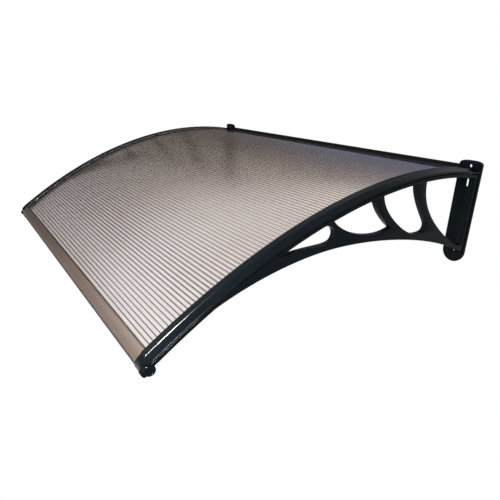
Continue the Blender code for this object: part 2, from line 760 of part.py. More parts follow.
def clamp_screws(finish):
    """Clamp screws, a pan head and a shank each, five to a side."""
    x = STRIP_IN + SCREW_IN
    under = CHORD_UNDER - GAP
    tip = STRIP_UNDER + SCREW_BITE
    for k, s in enumerate(screw_stations(), 1):
        work = bmesh.new()
        profile = [(0.0, under - HEAD_HEIGHT), (0.7 * HEAD_RADIUS, under - HEAD_HEIGHT),
                   (HEAD_RADIUS, under - 0.6 * HEAD_HEIGHT), (HEAD_RADIUS, under),
                   (SCREW_RADIUS, under), (SCREW_RADIUS, tip - SCREW_RADIUS / 2),
                   (SCREW_RADIUS / 2, tip), (0.0, tip)]
        chain = [work.verts.new((r, 0.0, n)) for r, n in profile]
        edges = [work.edges.new(pair) for pair in zip(chain, chain[1:])]
        bmesh.ops.spin(work, geom=chain + edges, cent=(0, 0, 0), axis=(0, 0, 1),
                       angle=2 * math.pi, steps=12, use_merge=True)
        mesh = finish_mesh(work, "screw")
        mesh.transform(Matrix.Translation(at(x, s, 0.0)) @ Matrix.Rotation(slope(s), 4, "X"))
        right = part(f"clamp_screw_right_{k}", mesh, finish)
        mirrored(right, f"clamp_screw_left_{k}", finish)


def build():
    """Make the canopy from an empty file."""
    for old in list(bpy.data.objects):
        bpy.data.objects.remove(old)
    collection(PARTS)
    collection(CUTTERS)
    glazing = material("bronze_polycarbonate", (0.30, 0.22, 0.16), 0.20, alpha=0.7)
    plastic = material("black_plastic", (0.012, 0.015, 0.017), 0.38)
    rubber = material("black_rubber", (0.010, 0.010, 0.010), 0.70)
    lip = material("clear_lip", (0.55, 0.55, 0.56), 0.45)
    taupe = material("taupe_aluminium", (0.32, 0.28, 0.24), 0.35, metallic=0.6)
    black = material("black_aluminium", (0.02, 0.02, 0.022), 0.40, metallic=0.3)
    steel = material("zinc_steel", (0.60, 0.60, 0.58), 0.35, metallic=1.0)

    sheet(glazing)
    for make, colour in ((bracket, plastic), (cover_strip, plastic), (lip_gasket, lip),
                         (rail_cap, plastic)):
        right = make(colour)
        bpy.context.view_layer.update()
        mirrored(right, right.name.replace("right", "left"), colour)
    front_rail(taupe)
    front_gasket(rubber)
    drip_seal(rubber)
    rear_rail(black)
    rear_gasket(rubber)
    wall_seal(rubber)
    clamp_screws(steel)


build()
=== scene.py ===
import math

import bmesh
import bpy
import numpy as np
from mathutils import Matrix, Vector


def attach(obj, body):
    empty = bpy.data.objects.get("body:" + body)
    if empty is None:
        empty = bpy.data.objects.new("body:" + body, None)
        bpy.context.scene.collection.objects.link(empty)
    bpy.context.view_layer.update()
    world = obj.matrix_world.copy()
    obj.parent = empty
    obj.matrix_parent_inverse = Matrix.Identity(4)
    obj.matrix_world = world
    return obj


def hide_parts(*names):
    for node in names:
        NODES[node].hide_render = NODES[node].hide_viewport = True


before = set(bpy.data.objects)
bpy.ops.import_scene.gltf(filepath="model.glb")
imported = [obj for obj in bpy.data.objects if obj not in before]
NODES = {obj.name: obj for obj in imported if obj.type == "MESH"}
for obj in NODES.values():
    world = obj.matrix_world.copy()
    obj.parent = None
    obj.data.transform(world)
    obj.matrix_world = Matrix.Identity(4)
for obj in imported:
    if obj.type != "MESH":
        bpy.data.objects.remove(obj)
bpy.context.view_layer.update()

# Twin-wall sheet. Two thin skins of clear bronze polycarbonate and the ribs between them come
# out of one die, so the ribs run straight across the canopy. The sheet is cut square and bent
# cold over the arch of the brackets.
#
# Lengths are metres. Along the arch, s runs down from the wall and n stands off the sheet's top.
ARCH_RUN = 0.9217
SLOPE_WALL = math.radians(-10.8)
SLOPE_FRONT = math.radians(33.5)
SLOPE_BOW = math.radians(3.6)
GAP = 0.0003
SHEET_THICK = 0.006
SHEET_SKIN = 0.0005
SHEET_RIB = 0.0005
SHEET_CELLS = 101
SHEET_BACK = 0.010
SHEET_GRIP = 0.0075
SHEET_FRONT = ARCH_RUN + SHEET_GRIP
SHEET_HALF = 0.590
SHEET_IOR = 1.58
CELL = (SHEET_FRONT - SHEET_BACK) / SHEET_CELLS
# Width of the painted shade along each rib's root, in shares of half a cell of the flute map
RIB_SHADE_SHARE = 0.13
FLUTE_MAP = "flutes"


def slope(s):
    """Downward slope of the sheet at arc length s from the wall."""
    t = s / ARCH_RUN
    return SLOPE_WALL + (SLOPE_FRONT - SLOPE_WALL) * t + SLOPE_BOW * 4 * t * (1 - t)


# The arch's line, added up in half millimetres from behind the wall to past the front rail
LINE_S = np.linspace(-0.05, 1.05, 2201)
LINE_STEP = np.diff(LINE_S)
LINE_TILT = slope((LINE_S[1:] + LINE_S[:-1]) / 2)
LINE_Y = np.concatenate(([0.0], -np.cumsum(np.cos(LINE_TILT) * LINE_STEP)))
LINE_Z = np.concatenate(([0.0], -np.cumsum(np.sin(LINE_TILT) * LINE_STEP)))
LINE_Y = LINE_Y - np.interp(0.0, LINE_S, LINE_Y)
LINE_Z = LINE_Z - np.interp(0.0, LINE_S, LINE_Z)


def arch(s, n=0.0):
    """Point (y, z) at arc length s from the wall and height n above the sheet's top."""
    here = slope(s)
    y = np.interp(s, LINE_S, LINE_Y) - n * math.sin(here)
    z = np.interp(s, LINE_S, LINE_Z) + n * math.cos(here)
    return float(y), float(z)


def bend(work):
    """Bend a piece drawn flat, with the wall at y = 0 and the sheet's top at z = 0."""
    for vert in work.verts:
        y, z = arch(-vert.co.y, vert.co.z)
        vert.co = (vert.co.x, y, z)


def node(tree, kind, inputs=None, **settings):
    """A shader node with its settings, its inputs set or linked."""
    made = tree.nodes.new("ShaderNode" + kind)
    for name, value in settings.items():
        setattr(made, name, value)
    for name, value in (inputs or {}).items():
        if isinstance(value, bpy.types.NodeSocket):
            tree.links.new(value, made.inputs[name])
        else:
            made.inputs[name].default_value = value
    return made


def finish(name, **constants):
    """A material with a Principled BSDF, with its even values on the shader's own sockets."""
    made = bpy.data.materials.new(name)
    made.use_nodes = True
    shader = made.node_tree.nodes["Principled BSDF"]
    for socket, value in constants.items():
        shader.inputs[socket.replace("_", " ")].default_value = value
    return made, made.node_tree, shader


def effect(name, inputs, outputs):
    """An empty shader node group with named inputs and outputs."""
    tree = bpy.data.node_groups.new(name, "ShaderNodeTree")
    for label, value in inputs.items():
        made = tree.interface.new_socket(label, in_out="INPUT", socket_type="NodeSocketFloat")
        made.default_value = value
    for label in outputs:
        tree.interface.new_socket(label, in_out="OUTPUT", socket_type="NodeSocketFloat")
    return tree, tree.nodes.new("NodeGroupInput"), tree.nodes.new("NodeGroupOutput")


# Soft patches and a fine grain, in the piece's own coordinates
SURFACE, surface_in, surface_out = effect(
    "surface_grain", {"Patch Scale": 9.0, "Grain Scale": 900.0, "Across": 1.0},
    ("Patches", "Grain"))
surface_at = node(SURFACE, "TexCoord").outputs["Object"]
surface_scale = node(SURFACE, "CombineXYZ", {
    "X": surface_in.outputs["Across"], "Y": 1.0, "Z": 1.0}).outputs[0]
surface_stretch = node(SURFACE, "VectorMath", {0: surface_at, 1: surface_scale},
                       operation="MULTIPLY").outputs[0]
surface_patches = node(SURFACE, "TexNoise", {
    "Vector": surface_at, "Scale": surface_in.outputs["Patch Scale"], "Detail": 4.0,
    "Roughness": 0.55})
surface_grain = node(SURFACE, "TexNoise", {
    "Vector": surface_stretch, "Scale": surface_in.outputs["Grain Scale"], "Detail": 3.0,
    "Roughness": 0.6})
SURFACE.links.new(surface_patches.outputs[0], surface_out.inputs["Patches"])
SURFACE.links.new(surface_grain.outputs[0], surface_out.inputs["Grain"])
NOISE_LOW = 0.3
NOISE_HIGH = 0.7


def grain(tree, patch_scale, grain_scale=900.0, across=1.0):
    """The shared patches and grain, placed in a material with its own scales.

    A small value across draws the grain out along x, as a die or a brush leaves it.
    """
    made = tree.nodes.new("ShaderNodeGroup")
    made.node_tree = SURFACE
    made.inputs["Patch Scale"].default_value = patch_scale
    made.inputs["Grain Scale"].default_value = grain_scale
    made.inputs["Across"].default_value = across
    return made.outputs["Patches"], made.outputs["Grain"]


def between(tree, mask, low, high):
    """A value that runs from low to high with a mask of noise."""
    return node(tree, "MapRange", {"Value": mask, "From Min": NOISE_LOW, "From Max": NOISE_HIGH,
                                   "To Min": low, "To Max": high}).outputs["Result"]


def blend(tree, share, low, high):
    """A colour between two others, each a socket or three values."""
    made = node(tree, "Mix", {0: share}, data_type="RGBA")
    for slot, colour in ((6, low), (7, high)):
        if isinstance(colour, tuple):
            made.inputs[slot].default_value = (*colour, 1.0)
        else:
            tree.links.new(colour, made.inputs[slot])
    return made.outputs[2]


def shade(tree, mask, low, high):
    """A colour that runs from low to high with a mask."""
    return blend(tree, between(tree, mask, 0.0, 1.0), low, high)


def relief(tree, height, distance):
    """A bump from a height mask, its depth in metres."""
    return node(tree, "Bump", {"Height": height, "Distance": distance}).outputs["Normal"]


def put(tree, shader, **sockets):
    """Link varying values to the shader."""
    for name, value in sockets.items():
        tree.links.new(value, shader.inputs[name.replace("_", " ")])


# The skins carry a painted shade along the roots of the ribs, on the map's even numbers: it stands
# in for the dark lines the ribs show through the sheet
SKINS, skins_tree, skins = finish("bronze_skins", Transmission_Weight=1.0, IOR=SHEET_IOR)
skins_patches = grain(skins_tree, 5.0)[0]
skins_map = node(skins_tree, "UVMap", uv_map=FLUTE_MAP).outputs[0]
skins_at = node(skins_tree, "SeparateXYZ", {0: skins_map}).outputs["X"]
skins_off = node(skins_tree, "Math", {0: skins_at, 1: 1.0}, operation="PINGPONG").outputs[0]
# Mask of the painted rib shade, full at each rib's root and fading off to either side
skins_rib_shade = node(skins_tree, "MapRange", {
    "Value": skins_off, "From Min": RIB_SHADE_SHARE, "From Max": 2 * RIB_SHADE_SHARE,
    "To Min": 1.0, "To Max": 0.0}, interpolation_type="SMOOTHSTEP").outputs[0]
skins_clear = shade(skins_tree, skins_patches, (0.87, 0.83, 0.82), (0.90, 0.865, 0.855))
put(skins_tree, skins,
    Base_Color=blend(skins_tree, skins_rib_shade, skins_clear, (0.085, 0.035, 0.025)),
    Roughness=between(skins_tree, skins_patches, 0.08, 0.12))
RIBS, ribs_tree, ribs = finish("bronze_ribs", Transmission_Weight=1.0, IOR=SHEET_IOR)
ribs_patches = grain(ribs_tree, 5.0)[0]
put(ribs_tree, ribs,
    Base_Color=shade(ribs_tree, ribs_patches, (0.94, 0.88, 0.78), (0.97, 0.91, 0.82)),
    Roughness=between(ribs_tree, ribs_patches, 0.04, 0.08))

# Points closer than this are one, and an edge that turns more than this stays sharp
MERGE = 0.000002
CREASE = math.radians(38)


def solid(name, work, slot, replaced, *finishes):
    """Turn a drawn piece into its object, smooth between its sharp edges, and place it."""
    bmesh.ops.remove_doubles(work, verts=work.verts, dist=MERGE)
    bmesh.ops.recalc_face_normals(work, faces=work.faces)
    mesh = bpy.data.meshes.new(name)
    work.to_mesh(mesh)
    work.free()
    for material in finishes:
        mesh.materials.append(material)
    mesh.shade_smooth()
    mesh.set_sharp_from_angle(angle=CREASE)
    made = bpy.data.objects.new(name, mesh)
    bpy.context.scene.collection.objects.link(made)
    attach(made, "root")
    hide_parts(*replaced)


def twin_wall():
    """The sheet's ladder section, with open flutes, extruded across and bent.

    It starts as a unit grid: its columns are rib, flute, rib and so on, and its three rows
    are the lower skin, the ribs and the upper skin.
    """
    columns = 2 * SHEET_CELLS + 1
    levels = (-SHEET_THICK, SHEET_SKIN - SHEET_THICK, -SHEET_SKIN, 0.0)
    rows = len(levels) - 1
    work = bmesh.new()
    bmesh.ops.create_grid(work, x_segments=columns, y_segments=rows, size=0.5)
    flutes = []
    for face in work.faces:
        middle = face.calc_center_median()
        if math.floor((middle.x + 0.5) * columns) % 2 == 1 and abs(middle.y) < 0.5 / rows:
            flutes.append(face)
    bmesh.ops.delete(work, geom=flutes, context="FACES_ONLY")
    for vert in work.verts:
        column = round((vert.co.x + 0.5) * columns)
        side = SHEET_RIB / 2 if column % 2 == 1 else -SHEET_RIB / 2
        s = min(max(SHEET_BACK + (column // 2) * CELL + side, SHEET_BACK), SHEET_FRONT)
        vert.co = (-SHEET_HALF, -s, levels[round((vert.co.y + 0.5) * rows)])
    grown = bmesh.ops.extrude_face_region(work, geom=work.faces[:])
    side = [g for g in grown["geom"] if isinstance(g, bmesh.types.BMVert)]
    bmesh.ops.translate(work, verts=side, vec=(2 * SHEET_HALF, 0.0, 0.0))
    bmesh.ops.recalc_face_normals(work, faces=work.faces)
    flute_map = work.loops.layers.uv.new(FLUTE_MAP)
    for face in work.faces:
        face.material_index = 1 if abs(face.normal.y) > 0.5 else 0
        for loop in face.loops:
            along = (-loop.vert.co.y - SHEET_BACK) / CELL
            loop[flute_map].uv = (2 * along, loop.vert.co.x)
    bend(work)
    return work


solid("bronze_twin_wall_sheet", twin_wall(), "bronze_sheet", ["twin_wall_sheet"], SKINS, RIBS)

# Rear rail, its gasket and the wall seal. The rail is drawn black aluminium; the soft parts
# are extruded rubber, pushed into the jaw and over the rail's top edge.
BLACK_METAL, metal_tree, metal = finish("black_aluminium", Metallic=0.4)
metal_patches, metal_grain = grain(metal_tree, 14.0, 1400.0, 0.01)
put(metal_tree, metal,
    Base_Color=shade(metal_tree, metal_patches, (0.018, 0.018, 0.020), (0.026, 0.026, 0.029)),
    Roughness=between(metal_tree, metal_grain, 0.34, 0.48),
    Normal=relief(metal_tree, metal_grain, 0.00003))
RUBBER, rubber_tree, rubber = finish("black_rubber", Specular_IOR_Level=0.15)
rubber_patches, rubber_grain = grain(rubber_tree, 20.0, 1600.0)
put(rubber_tree, rubber,
    Base_Color=shade(rubber_tree, rubber_patches, (0.009, 0.009, 0.009), (0.016, 0.016, 0.016)),
    Roughness=between(rubber_tree, rubber_patches, 0.62, 0.78),
    Normal=relief(rubber_tree, rubber_grain, 0.00004))


def refinish(name, material):
    """Give a solid of the frame its finish."""
    for place in NODES[name].material_slots:
        place.material = material


refinish("rear_rail", BLACK_METAL)
for soft in ("rear_glazing_gasket", "wall_seal"):
    refinish(soft, RUBBER)

# Brackets. Each is one moulding of black plastic: a plate on the wall, a web with four curved
# openings under a chord, and a round end with a toe that carries the rail's cap. Its edges are
# rounded, as a mould leaves them.
HALF_WIDTH = 0.600
PLATE_WIDTH = 0.061
PLATE_THICK = 0.008
PLATE_CROWN_Z = 0.026
PLATE_CROWN_RISE = 0.012
PLATE_CROWN_CURVE = 2 / 3
PLATE_FOOT_Z = -0.238
PLATE_EDGE = 0.0016
PLATE_MID = HALF_WIDTH - PLATE_WIDTH / 2
TOP_HOLE_Z = 0.013
TOP_HOLE = 0.008
SLOT_Z = -0.028
SLOT_WIDTH = 0.007
SLOT_LENGTH = 0.020
FOOT_HOLE = 0.005
WEB_INSET = 0.0036
WEB_OUT = HALF_WIDTH - WEB_INSET
WEB_THICK = 0.0154
WEB_EDGE = 0.0010
REAR_POST = 0.011
CHORD_INSET = 0.003
CHORD_OUT = HALF_WIDTH - CHORD_INSET
CHORD_WIDTH = 0.031
CHORD_DEPTH = 0.0087
CHORD_TOP = -SHEET_THICK - GAP
CHORD_UNDER = CHORD_TOP - CHORD_DEPTH
CHORD_EDGE = 0.0012
BELLY_Y = -0.460
BELLY_Z = -0.101
HEEL_Z = -0.206
NOSE_BACK = 0.0183
NOSE_SINK = 0.0015
END_REACH = 0.0165
END_IN = HALF_WIDTH - END_REACH
END_RADIUS = 0.011
END_DISH = 0.0015
END_WELL = 0.7 * END_RADIUS
END_EDGE = 0.0012
END_AHEAD = 0.0180
END_BELOW = 0.0130
END_S = ARCH_RUN + END_AHEAD
END_N = -END_BELOW
TOE_AHEAD = 0.0168
TOE_BELOW = 0.0108
TOE_ROUND = 0.0015
RAIL_SHELF = 0.001
CAP_WALL = 0.0046
BEND_STEP = 0.008
CORNER_SHARE = 0.25
CORNER_EASE = 0.4

# How far the lower edge's two curves are pulled, in shares of their run and of their fall
NOSE_PULL = (0.17, 0.52)
BELLY_PULL_AHEAD = (0.40, 0.02)
BELLY_PULL_BEHIND = (0.29, 0.02)
HEEL_PULL = (0.69, 0.32)
LOWER_STEPS = 40
WINDOW_STEPS = 20

PLASTIC, plastic_tree, plastic = finish("black_plastic", IOR=1.5, Specular_IOR_Level=0.04)
plastic_patches, plastic_grain = grain(plastic_tree, 7.0, 1500.0)
put(plastic_tree, plastic,
    Base_Color=shade(plastic_tree, plastic_patches, (0.004, 0.008, 0.011), (0.008, 0.012, 0.016)),
    Roughness=between(plastic_tree, plastic_patches, 0.15, 0.20),
    Normal=relief(plastic_tree, plastic_grain, 0.00001))

# An outline drawn in (y, z) is given its thickness along x, one drawn in (x, z) along -y
ALONG_X = Matrix.Rotation(math.pi / 2, 4, "Z") @ Matrix.Rotation(math.pi / 2, 4, "X")
ALONG_Y = Matrix.Rotation(math.pi / 2, 4, "X")


def rounded(points, cut, closed=True, times=3):
    """Cut the corners of a line of points, a little less each time."""
    for _ in range(times):
        made = []
        ends = zip(points, points[1:] + points[:1]) if closed else zip(points, points[1:])
        for (u0, v0), (u1, v1) in ends:
            share = min(CORNER_SHARE, cut / max(math.hypot(u1 - u0, v1 - v0), GAP / 10))
            for t in (share, 1 - share):
                made.append((u0 + (u1 - u0) * t, v0 + (v1 - v0) * t))
        points = made if closed else [points[0], *made, points[-1]]
        cut = CORNER_EASE * cut
    return points


def slab(outlines, low, high, turn, edge):
    """Closed outlines as one filled 2D curve, made a solid with rounded rims, low to high."""
    curve = bpy.data.curves.new("outline", "CURVE")
    curve.dimensions = "2D"
    curve.fill_mode = "BOTH"
    curve.extrude = (high - low) / 2 - edge
    curve.bevel_depth = edge
    curve.bevel_resolution = 2
    curve.offset = -edge
    for outline in outlines:
        spline = curve.splines.new("POLY")
        spline.points.add(len(outline) - 1)
        spline.use_cyclic_u = True
        for point, (u, v) in zip(spline.points, outline):
            point.co = (u, v, 0.0, 1.0)
    holder = bpy.data.objects.new("outline", curve)
    bpy.context.scene.collection.objects.link(holder)
    mesh = bpy.data.meshes.new_from_object(holder.evaluated_get(
        bpy.context.evaluated_depsgraph_get()))
    mesh.transform(turn @ Matrix.Translation((0.0, 0.0, (low + high) / 2)))
    bpy.data.objects.remove(holder)
    work = bmesh.new()
    work.from_mesh(mesh)
    bmesh.ops.remove_doubles(work, verts=work.verts, dist=MERGE)
    return work


def swept(section, start, end):
    """A section (x, n) carried from one arc length to another, then bent over the arch."""
    work = bmesh.new()
    work.faces.new([work.verts.new((x, -start, n)) for x, n in section])
    grown = bmesh.ops.extrude_face_region(work, geom=work.faces[:])
    moved = [g for g in grown["geom"] if isinstance(g, bmesh.types.BMVert)]
    bmesh.ops.translate(work, verts=moved, vec=(0.0, start - end, 0.0))
    long = [e for e in work.edges if abs(e.verts[0].co.y - e.verts[1].co.y) > GAP]
    bmesh.ops.subdivide_edges(work, edges=long, cuts=round((end - start) / BEND_STEP),
                              use_grid_fill=True)
    bend(work)
    return work


def turned(profile, centre, steps=48):
    """A profile (x, r) turned about the line along x through the centre (y, z)."""
    work = bmesh.new()
    chain = [work.verts.new((x, centre[0], centre[1] + r)) for x, r in profile]
    edges = [work.edges.new(ends) for ends in zip(chain, chain[1:])]
    bmesh.ops.spin(work, geom=chain + edges, cent=(0.0, *centre), axis=(1.0, 0.0, 0.0),
                   angle=2 * math.pi, steps=steps, use_merge=True)
    bmesh.ops.remove_doubles(work, verts=work.verts, dist=MERGE)
    return work


def gathered(*shells):
    """Several closed shells as one mesh."""
    work = bmesh.new()
    for shell in shells:
        mesh = bpy.data.meshes.new("shell")
        shell.to_mesh(mesh)
        shell.free()
        work.from_mesh(mesh)
        bpy.data.meshes.remove(mesh)
    return work


def pair(name, make, slot, nodes, material):
    """A piece on the right and its mirror image on the left."""
    for side, flip in (("right", 1.0), ("left", -1.0)):
        work = make()
        bmesh.ops.scale(work, verts=work.verts, vec=(flip, 1.0, 1.0))
        solid(f"{name}_{side}", work, slot, [each.format(side) for each in nodes], material)


def arc(centre, radius, start, end, steps):
    """Points on a circle from one angle to another, in degrees."""
    angles = np.radians(np.linspace(start, end, steps + 1))
    return [(centre[0] + radius * math.cos(a), centre[1] + radius * math.sin(a)) for a in angles]


def bezier(points, steps):
    """Points along a cubic curve, from its start up to its end."""
    p = [np.array(point) for point in points]
    made = []
    for t in np.linspace(0.0, 1.0, steps + 1):
        u = 1 - t
        made.append(tuple(u**3 * p[0] + 3 * u * u * t * p[1] + 3 * u * t * t * p[2] + t**3 * p[3]))
    return made


def chord_line(y, n):
    """Point (y, z) on the line that lies n above the sheet's top."""
    tilt = slope(LINE_S)
    across, up = LINE_Y - n * np.sin(tilt), LINE_Z + n * np.cos(tilt)
    return y, float(np.interp(-y, -across, up))


def lower_edge():
    """Lower outline of the bracket, from the front of the chord back to the wall plate."""
    nose = arch(ARCH_RUN - NOSE_BACK, CHORD_UNDER + NOSE_SINK)
    belly = (BELLY_Y, BELLY_Z)
    heel = (-PLATE_THICK, HEEL_Z)
    ahead = nose[0] - BELLY_Y
    behind = heel[0] - BELLY_Y
    drop = BELLY_Z - nose[1]
    fall = BELLY_Z - HEEL_Z
    off_nose = (nose[0] - NOSE_PULL[0] * ahead, nose[1] + NOSE_PULL[1] * drop)
    to_belly = (BELLY_Y + BELLY_PULL_AHEAD[0] * ahead, BELLY_Z + BELLY_PULL_AHEAD[1] * drop)
    off_belly = (BELLY_Y + BELLY_PULL_BEHIND[0] * behind, BELLY_Z - BELLY_PULL_BEHIND[1] * drop)
    to_heel = (BELLY_Y + HEEL_PULL[0] * behind, BELLY_Z - HEEL_PULL[1] * fall)
    return (bezier([nose, off_nose, to_belly, belly], LOWER_STEPS)
            + bezier([belly, off_belly, to_heel, heel], LOWER_STEPS)[1:])


def window(edge, corners, curves):
    """An opening in the web: its top runs inside the chord, and curves close it below.

    Points are shares of the depth, and of the way from the chord down to the lower edge.
    """
    reach = arch(END_S, CHORD_UNDER)[0]
    ys, zs = zip(*edge)

    def bay(u, v):
        y, top = chord_line(u * reach, CHORD_UNDER)
        return y, top + v * (float(np.interp(y, ys, zs)) - top)

    front, back = corners
    sunk = CHORD_UNDER + CHORD_DEPTH / 2
    made = [chord_line(u * reach, sunk) for u in np.linspace(front, back, 16)]
    made.append(bay(back, 0.0))
    for points in curves:
        made += [bay(u, v) for u, v in bezier(points, WINDOW_STEPS)[1:]]
    return made


def web():
    """Flat web of the bracket with its four openings, its top edge inside the chord."""
    edge = lower_edge()
    reach = arch(END_S, CHORD_UNDER)[0]
    rear = (PLATE_THICK + REAR_POST) / -reach
    first = window(edge, (0.700, 0.569), [
        [(0.569, 0.0), (0.541, 0.15), (0.532, 0.55), (0.548, 0.70)],
        [(0.548, 0.70), (0.566, 0.84), (0.648, 0.55), (0.700, 0.0)]])
    second = window(edge, (0.545, 0.417), [
        [(0.417, 0.0), (0.410, 0.26), (0.384, 0.56), (0.350, 0.74)],
        [(0.350, 0.74), (0.420, 0.98), (0.512, 0.76), (0.545, 0.0)]])
    third = window(edge, (0.390, 0.270), [
        [(0.270, 0.0), (0.264, 0.28), (0.234, 0.50), (0.209, 0.69)],
        [(0.209, 0.69), (0.199, 0.80), (0.215, 0.86), (0.240, 0.88)],
        [(0.240, 0.88), (0.296, 0.95), (0.379, 0.50), (0.390, 0.0)]])
    fourth = window(edge, (0.236, rear), [
        [(rear, 0.0), (rear, 0.30), (rear, 0.60), (rear, 0.86)],
        [(rear, 0.86), (rear, 0.93), (rear + 0.02, 0.95), (rear + 0.045, 0.93)],
        [(rear + 0.045, 0.93), (0.160, 0.84), (0.236, 0.50), (0.236, 0.0)]])
    seat = CHORD_TOP - CHORD_DEPTH / 8
    into_plate = [(-PLATE_THICK / 2, HEEL_Z), arch(PLATE_THICK / 2, seat)]
    top = [arch(s, seat) for s in np.linspace(1.5 * PLATE_THICK, ARCH_RUN - NOSE_BACK, 80)]
    return slab([edge + into_plate + top, first, second, third, fourth],
                WEB_OUT - WEB_THICK, WEB_OUT, ALONG_X, WEB_EDGE)


def chord(inner, start, end, inset=0.0):
    """A stretch of the seat under the edge of the sheet."""
    outer, top, under = CHORD_OUT - inset, CHORD_TOP - inset, CHORD_UNDER + inset
    corners = [(inner, top), (outer, top), (outer, under), (inner, under)]
    return swept(rounded(corners, CHORD_EDGE), start, end)


def wall_plate():
    """Plate against the wall: a round foot, straight sides and a flattened crown."""
    half = PLATE_WIDTH / 2
    foot_z = PLATE_FOOT_Z + half
    outline = arc((PLATE_MID, foot_z), half, 180, 360, 48)
    for a in np.radians(np.linspace(0, 180, 65)):
        across = math.copysign(abs(math.cos(a)) ** PLATE_CROWN_CURVE, math.cos(a))
        rise = PLATE_CROWN_RISE * (math.sin(a) ** PLATE_CROWN_CURVE - 1)
        outline.append((PLATE_MID + half * across, PLATE_CROWN_Z + rise))
    straight = (SLOT_LENGTH - SLOT_WIDTH) / 2
    slot = (arc((PLATE_MID, SLOT_Z + straight), SLOT_WIDTH / 2, 0, 180, 16)
            + arc((PLATE_MID, SLOT_Z - straight), SLOT_WIDTH / 2, 180, 360, 16))
    top_hole = arc((PLATE_MID, TOP_HOLE_Z), TOP_HOLE / 2, 0, 360, 32)[:-1]
    foot_hole = arc((PLATE_MID, foot_z), FOOT_HOLE / 2, 0, 360, 24)[:-1]
    return slab([outline, slot, top_hole, foot_hole], 0.0, PLATE_THICK, ALONG_Y, PLATE_EDGE)


def round_end():
    """Round end of the bracket, dished on its outer side."""
    dish = HALF_WIDTH - END_DISH
    profile = [(END_IN, 0.0), (END_IN, END_RADIUS), (HALF_WIDTH, END_RADIUS),
               (HALF_WIDTH, END_WELL), (dish, END_WELL - END_DISH / 2), (dish, 0.0)]
    return turned(rounded(profile, END_EDGE, closed=False), arch(END_S, END_N))


def toe():
    """Toe that runs forward and down from the round end, beside the foot of the rail's cap.

    Its corners are shares of the end's radius near the end, and of its own reach at its tip.
    """
    y, z = arch(END_S, END_N)
    front, low = y - TOE_AHEAD, z - TOE_BELOW
    outline = [(y - 0.3 * END_RADIUS, z + 0.8 * END_RADIUS),
               (y - 0.75 * END_RADIUS, z + 0.5 * END_RADIUS), (front, z - 0.25 * TOE_BELOW),
               (front + 0.15 * TOE_AHEAD, z - 0.7 * TOE_BELOW), (front + 0.35 * TOE_AHEAD, low),
               (front + 0.45 * TOE_AHEAD, low + 0.05 * TOE_BELOW),
               (y - 0.25 * END_RADIUS, z - 0.85 * END_RADIUS)]
    return slab([rounded(outline, TOE_ROUND)], END_IN + CAP_WALL / 2, HALF_WIDTH - END_DISH,
                ALONG_X, WEB_EDGE)


def bracket():
    """The whole moulding."""
    seat_end = ARCH_RUN - RAIL_SHELF - GAP
    seat = chord(CHORD_OUT - CHORD_WIDTH, PLATE_THICK / 2, seat_end)
    tongue = chord(END_IN + GAP, seat_end - CHORD_DEPTH, END_S, GAP / 2)
    return gathered(wall_plate(), web(), seat, tongue, round_end(), toe())


pair("moulded_bracket", bracket, "black_plastic", ["bracket_{}"], PLASTIC)

# Front rail, its gasket and drip seal. The rail is taupe aluminium, extruded with a lip on the
# sheet, a round front that turns down and a shelf under the sheet; its ends are mitred.
RAIL_WALL = 0.0018
RAIL_LIP = 0.008
RAIL_BEND = 0.025
RAIL_DROP = 0.002
RAIL_CLEAR = 0.0005
RAIL_RETURN = 0.006
RAIL_MITRE = 0.5
RAIL_INSET = 0.031
RAIL_HALF = HALF_WIDTH - RAIL_INSET
RAIL_EDGE = 0.0005
BEND_POINTS = 33
INNER_POINTS = 25
GASKET_THICK = 0.0014
SHELF_TOP = -SHEET_THICK - 2 * GAP - GASKET_THICK

TAUPE, taupe_tree, taupe = finish("taupe_aluminium", Specular_IOR_Level=0.04)
taupe_patches, taupe_grain = grain(taupe_tree, 8.0, 1200.0, 0.004)
put(taupe_tree, taupe,
    Base_Color=shade(taupe_tree, taupe_patches, (0.225, 0.163, 0.132), (0.240, 0.176, 0.144)),
    Roughness=between(taupe_tree, taupe_grain, 0.40, 0.50),
    Normal=relief(taupe_tree, taupe_grain, 0.00002))


def ahead(t, n):
    """Point (y, z) that lies t straight ahead of the arch's front end and n above it."""
    y, z = arch(ARCH_RUN, n)
    lean = slope(ARCH_RUN)
    return y - t * math.cos(lean), z - t * math.sin(lean)


def hood(skin, shelf_top, shelf_back, foot, filled=False):
    """Outline of the front rail and its caps, in (y, z).

    A lip lies on the sheet, the skin bends down to the drip edge, and a shelf runs back
    under the sheet. A filled outline closes the hollow between the skin and the shelf.
    """
    turn = math.pi / 2 - slope(ARCH_RUN)
    lip = RAIL_CLEAR + RAIL_WALL
    centre = lip - RAIL_BEND
    outer = [ahead(0.0, lip)]
    for a in np.linspace(0.0, turn, BEND_POINTS):
        outer.append(ahead(RAIL_LIP + RAIL_BEND * math.sin(a), centre + RAIL_BEND * math.cos(a)))
    front = outer[-1][0]
    low = outer[-1][1] - RAIL_DROP - foot
    outer.append((front, low))
    radius = RAIL_BEND - skin
    shelf_under = shelf_top - RAIL_WALL
    meet = math.acos((shelf_under - centre) / radius)
    inner = []
    for a in np.linspace(turn, meet, INNER_POINTS):
        inner.append(ahead(RAIL_LIP + radius * math.sin(a), centre + radius * math.cos(a)))
    back = front + RAIL_RETURN + skin
    drip = [(back, low), (back, low + RAIL_WALL), (front + skin, low + RAIL_WALL)]
    stop = SHEET_GRIP + GAP
    shelf = [ahead(-shelf_back, shelf_under), ahead(-shelf_back, shelf_top),
             ahead(stop, shelf_top), ahead(stop, RAIL_CLEAR), ahead(0.0, RAIL_CLEAR)]
    if filled:
        return outer + [(shelf[0][0], low)] + shelf
    return outer + drip + inner + shelf


